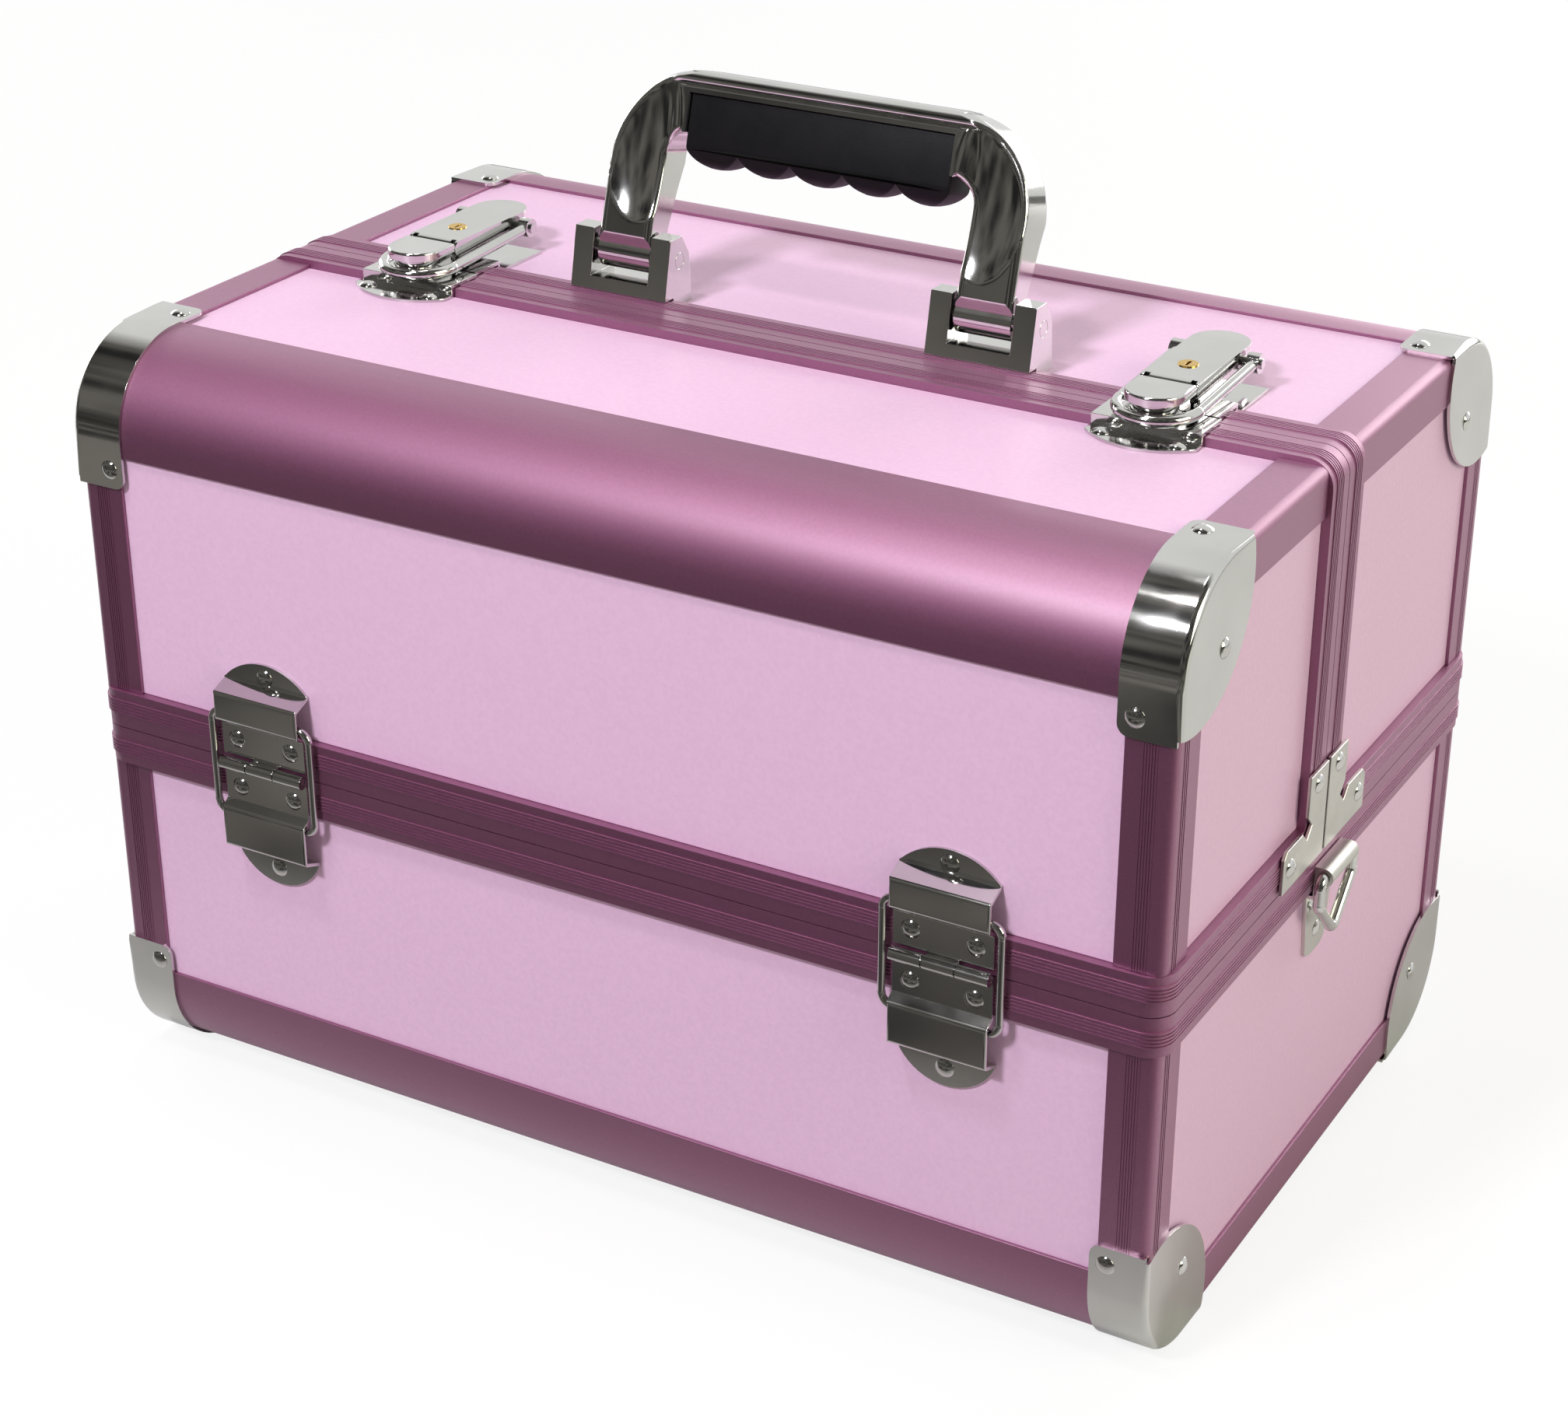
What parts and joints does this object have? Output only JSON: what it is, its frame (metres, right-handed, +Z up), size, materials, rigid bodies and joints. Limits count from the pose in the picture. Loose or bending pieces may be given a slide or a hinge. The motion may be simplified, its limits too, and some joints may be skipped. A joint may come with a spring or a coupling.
{
  "type": "makeup train case",
  "caption": "Boxy metal-framed makeup case with outward-folding split lids, cantilever trays, draw latches, corner caps and a top carrying handle.",
  "frame": {"origin": "under the middle of the case, on the plane it stands on", "axes": "+X to the right along the front, +Y to the rear, +Z up"},
  "size_m": [0.3756, 0.2506, 0.3144],
  "materials": {
    "pink_laminate": "satin pink laminate with a faint fine grain",
    "mauve_frame": "mauve anodised aluminium, satin",
    "chrome_hardware": "bright chrome plate",
    "satin_steel": "pale satin nickel",
    "grip_plastic": "black matte",
    "key_brass": "plain brass",
    "lining_cloth": "black lining cloth on card",
    "bottom_board": "dark laminate",
    "tray_plastic": "moulded pink plastic"
  },
  "bodies": {
    "base": {"base_wall_panels": "pink_laminate", "base_bottom_panel": "bottom_board", "base_bottom_edges": "mauve_frame", "base_end_frames": "mauve_frame", "base_rim": "mauve_frame", "base_corner_caps": "chrome_hardware", "base_lining": "lining_cloth", "hinge_lower_leaves": "chrome_hardware", "hinge_pins": "chrome_hardware", "ring_straps": "satin_steel", "base_rivets": "chrome_hardware", "tray_arm_brackets": "satin_steel"},
    "front_lid": {"front_lid_front_panel": "pink_laminate", "front_lid_top_panel": "pink_laminate", "front_lid_end_panels": "pink_laminate", "front_lid_round_edge": "mauve_frame", "front_lid_end_frames": "mauve_frame", "front_lid_rim": "mauve_frame", "front_lid_corner_caps": "chrome_hardware", "front_lid_lining": "lining_cloth", "front_lid_corner_brackets": "satin_steel", "front_hinge_leaves": "chrome_hardware", "front_lid_rivets": "chrome_hardware", "latch_catches": "chrome_hardware"},
    "rear_lid": {"rear_lid_rear_panel": "pink_laminate", "rear_lid_top_panel": "pink_laminate", "rear_lid_end_panels": "pink_laminate", "rear_lid_round_edge": "mauve_frame", "rear_lid_end_frames": "mauve_frame", "rear_lid_rim": "mauve_frame", "rear_lid_corner_caps": "chrome_hardware", "rear_lid_lining": "lining_cloth", "rear_lid_corner_brackets": "satin_steel", "rear_hinge_leaves": "chrome_hardware", "rear_lid_rivets": "chrome_hardware", "latch_bases": "chrome_hardware", "handle_brackets": "chrome_hardware"},
    "front_hinge_rings": {"front_hinge_bails": "chrome_hardware"},
    "rear_hinge_rings": {"rear_hinge_bails": "chrome_hardware"},
    "handle": {"handle_frame": "chrome_hardware", "handle_grip": "grip_plastic"},
    "left_lever": {"latch_lever_left": "chrome_hardware"},
    "right_lever": {"latch_lever_right": "chrome_hardware"},
    "left_loop": {"latch_loop_left": "chrome_hardware"},
    "right_loop": {"latch_loop_right": "chrome_hardware"},
    "left_key_plug": {"key_plug_left": "key_brass"},
    "right_key_plug": {"key_plug_right": "key_brass"},
    "left_carry_ring": {"carry_ring_left": "chrome_hardware"},
    "right_carry_ring": {"carry_ring_right": "chrome_hardware"},
    "front_outer_arms": {"front_outer_arms": "satin_steel"},
    "front_inner_arms": {"front_inner_arms": "satin_steel"},
    "front_lower_tray": {"front_lower_tray": "tray_plastic"},
    "front_upper_tray": {"front_upper_tray": "tray_plastic"},
    "front_links": {"front_lid_links": "satin_steel"},
    "rear_outer_arms": {"rear_outer_arms": "satin_steel"},
    "rear_inner_arms": {"rear_inner_arms": "satin_steel"},
    "rear_lower_tray": {"rear_lower_tray": "tray_plastic"},
    "rear_upper_tray": {"rear_upper_tray": "tray_plastic"},
    "rear_links": {"rear_lid_links": "satin_steel"}
  },
  "joints": [
    {"name": "front_lid_opening", "type": "hinge", "parent": "base", "child": "front_lid", "pos_m": [0, -0.1232, 0.121], "axis": [1, 0, 0], "range_deg": [0, 90]},
    {"name": "front_hinge_ring_swing", "type": "hinge", "parent": "base", "child": "front_hinge_rings", "pos_m": [0, -0.11682, 0.1056], "axis": [1, 0, 0], "range_deg": [0, 45]},
    {"name": "front_outer_arm_swing", "type": "hinge", "parent": "base", "child": "front_outer_arms", "pos_m": [0, -0.1, 0.12425], "axis": [1, 0, 0], "range_deg": [0, 90]},
    {"name": "front_inner_arm_swing", "type": "hinge", "parent": "base", "child": "front_inner_arms", "pos_m": [0, -0.076, 0.12425], "axis": [1, 0, 0], "range_deg": [0, 90]},
    {"name": "front_lower_tray_level", "type": "hinge", "parent": "front_outer_arms", "child": "front_lower_tray", "pos_m": [0, -0.07525, 0.149], "axis": [1, 0, 0], "range_deg": [-90, 0]},
    {"name": "front_upper_tray_level", "type": "hinge", "parent": "front_outer_arms", "child": "front_upper_tray", "pos_m": [0, -0.04697, 0.17728], "axis": [1, 0, 0], "range_deg": [-90, 0]},
    {"name": "front_link_pivot", "type": "hinge", "parent": "front_lid", "child": "front_links", "pos_m": [0, -0.09845, 0.14575], "axis": [1, 0, 0], "range_deg": [-90, 0]},
    {"name": "rear_lid_opening", "type": "hinge", "parent": "base", "child": "rear_lid", "pos_m": [0, 0.1232, 0.121], "axis": [-1, 0, 0], "range_deg": [0, 90]},
    {"name": "rear_hinge_ring_swing", "type": "hinge", "parent": "base", "child": "rear_hinge_rings", "pos_m": [0, 0.11682, 0.1056], "axis": [-1, 0, 0], "range_deg": [0, 45]},
    {"name": "rear_outer_arm_swing", "type": "hinge", "parent": "base", "child": "rear_outer_arms", "pos_m": [0, 0.1, 0.12425], "axis": [-1, 0, 0], "range_deg": [0, 90]},
    {"name": "rear_inner_arm_swing", "type": "hinge", "parent": "base", "child": "rear_inner_arms", "pos_m": [0, 0.076, 0.12425], "axis": [-1, 0, 0], "range_deg": [0, 90]},
    {"name": "rear_lower_tray_level", "type": "hinge", "parent": "rear_outer_arms", "child": "rear_lower_tray", "pos_m": [0, 0.07525, 0.149], "axis": [-1, 0, 0], "range_deg": [-90, 0]},
    {"name": "rear_upper_tray_level", "type": "hinge", "parent": "rear_outer_arms", "child": "rear_upper_tray", "pos_m": [0, 0.04697, 0.17728], "axis": [-1, 0, 0], "range_deg": [-90, 0]},
    {"name": "rear_link_pivot", "type": "hinge", "parent": "rear_lid", "child": "rear_links", "pos_m": [0, 0.09845, 0.14575], "axis": [-1, 0, 0], "range_deg": [-90, 0]},
    {"name": "handle_fold", "type": "hinge", "parent": "rear_lid", "child": "handle", "pos_m": [0, 0.0065, 0.258], "axis": [1, 0, 0], "range_deg": [0, 104]},
    {"name": "left_latch_lever_lift", "type": "hinge", "parent": "rear_lid", "child": "left_lever", "pos_m": [-0.126, -0.0075, 0.2539], "axis": [1, 0, 0], "range_deg": [0, 70]},
    {"name": "left_latch_loop_pivot", "type": "hinge", "parent": "left_lever", "child": "left_loop", "pos_m": [-0.126, 0.025, 0.2525], "axis": [1, 0, 0], "range_deg": [-33, 0]},
    {"name": "left_key_turn", "type": "hinge", "parent": "left_lever", "child": "left_key_plug", "pos_m": [-0.126, 0.004, 0.25], "axis": [0, 0, 1], "range_deg": [0, 90]},
    {"name": "left_carry_ring_swing", "type": "hinge", "parent": "base", "child": "left_carry_ring", "pos_m": [-0.1849, -0.002, 0.114], "axis": [0, 1, 0], "range_deg": [0, 150]},
    {"name": "right_latch_lever_lift", "type": "hinge", "parent": "rear_lid", "child": "right_lever", "pos_m": [0.126, -0.0075, 0.2539], "axis": [1, 0, 0], "range_deg": [0, 70]},
    {"name": "right_latch_loop_pivot", "type": "hinge", "parent": "right_lever", "child": "right_loop", "pos_m": [0.126, 0.025, 0.2525], "axis": [1, 0, 0], "range_deg": [-33, 0]},
    {"name": "right_key_turn", "type": "hinge", "parent": "right_lever", "child": "right_key_plug", "pos_m": [0.126, 0.004, 0.25], "axis": [0, 0, 1], "range_deg": [0, 90]},
    {"name": "right_carry_ring_swing", "type": "hinge", "parent": "base", "child": "right_carry_ring", "pos_m": [0.1849, -0.002, 0.114], "axis": [0, -1, 0], "range_deg": [0, 150]}
  ],
  "couplings": [
    {"joint": "front_hinge_ring_swing", "follows": "front_lid_opening", "ratio": 0.5},
    {"joint": "front_outer_arm_swing", "follows": "front_lid_opening", "ratio": 1},
    {"joint": "front_inner_arm_swing", "follows": "front_lid_opening", "ratio": 1},
    {"joint": "front_lower_tray_level", "follows": "front_lid_opening", "ratio": -1},
    {"joint": "front_upper_tray_level", "follows": "front_lid_opening", "ratio": -1},
    {"joint": "front_link_pivot", "follows": "front_lid_opening", "ratio": -1},
    {"joint": "rear_hinge_ring_swing", "follows": "rear_lid_opening", "ratio": 0.5},
    {"joint": "rear_outer_arm_swing", "follows": "rear_lid_opening", "ratio": 1},
    {"joint": "rear_inner_arm_swing", "follows": "rear_lid_opening", "ratio": 1},
    {"joint": "rear_lower_tray_level", "follows": "rear_lid_opening", "ratio": -1},
    {"joint": "rear_upper_tray_level", "follows": "rear_lid_opening", "ratio": -1},
    {"joint": "rear_link_pivot", "follows": "rear_lid_opening", "ratio": -1},
    {"joint": "left_latch_loop_pivot", "follows": "left_latch_lever_lift", "ratio": -0.46},
    {"joint": "right_latch_loop_pivot", "follows": "right_latch_lever_lift", "ratio": -0.46}
  ]
}
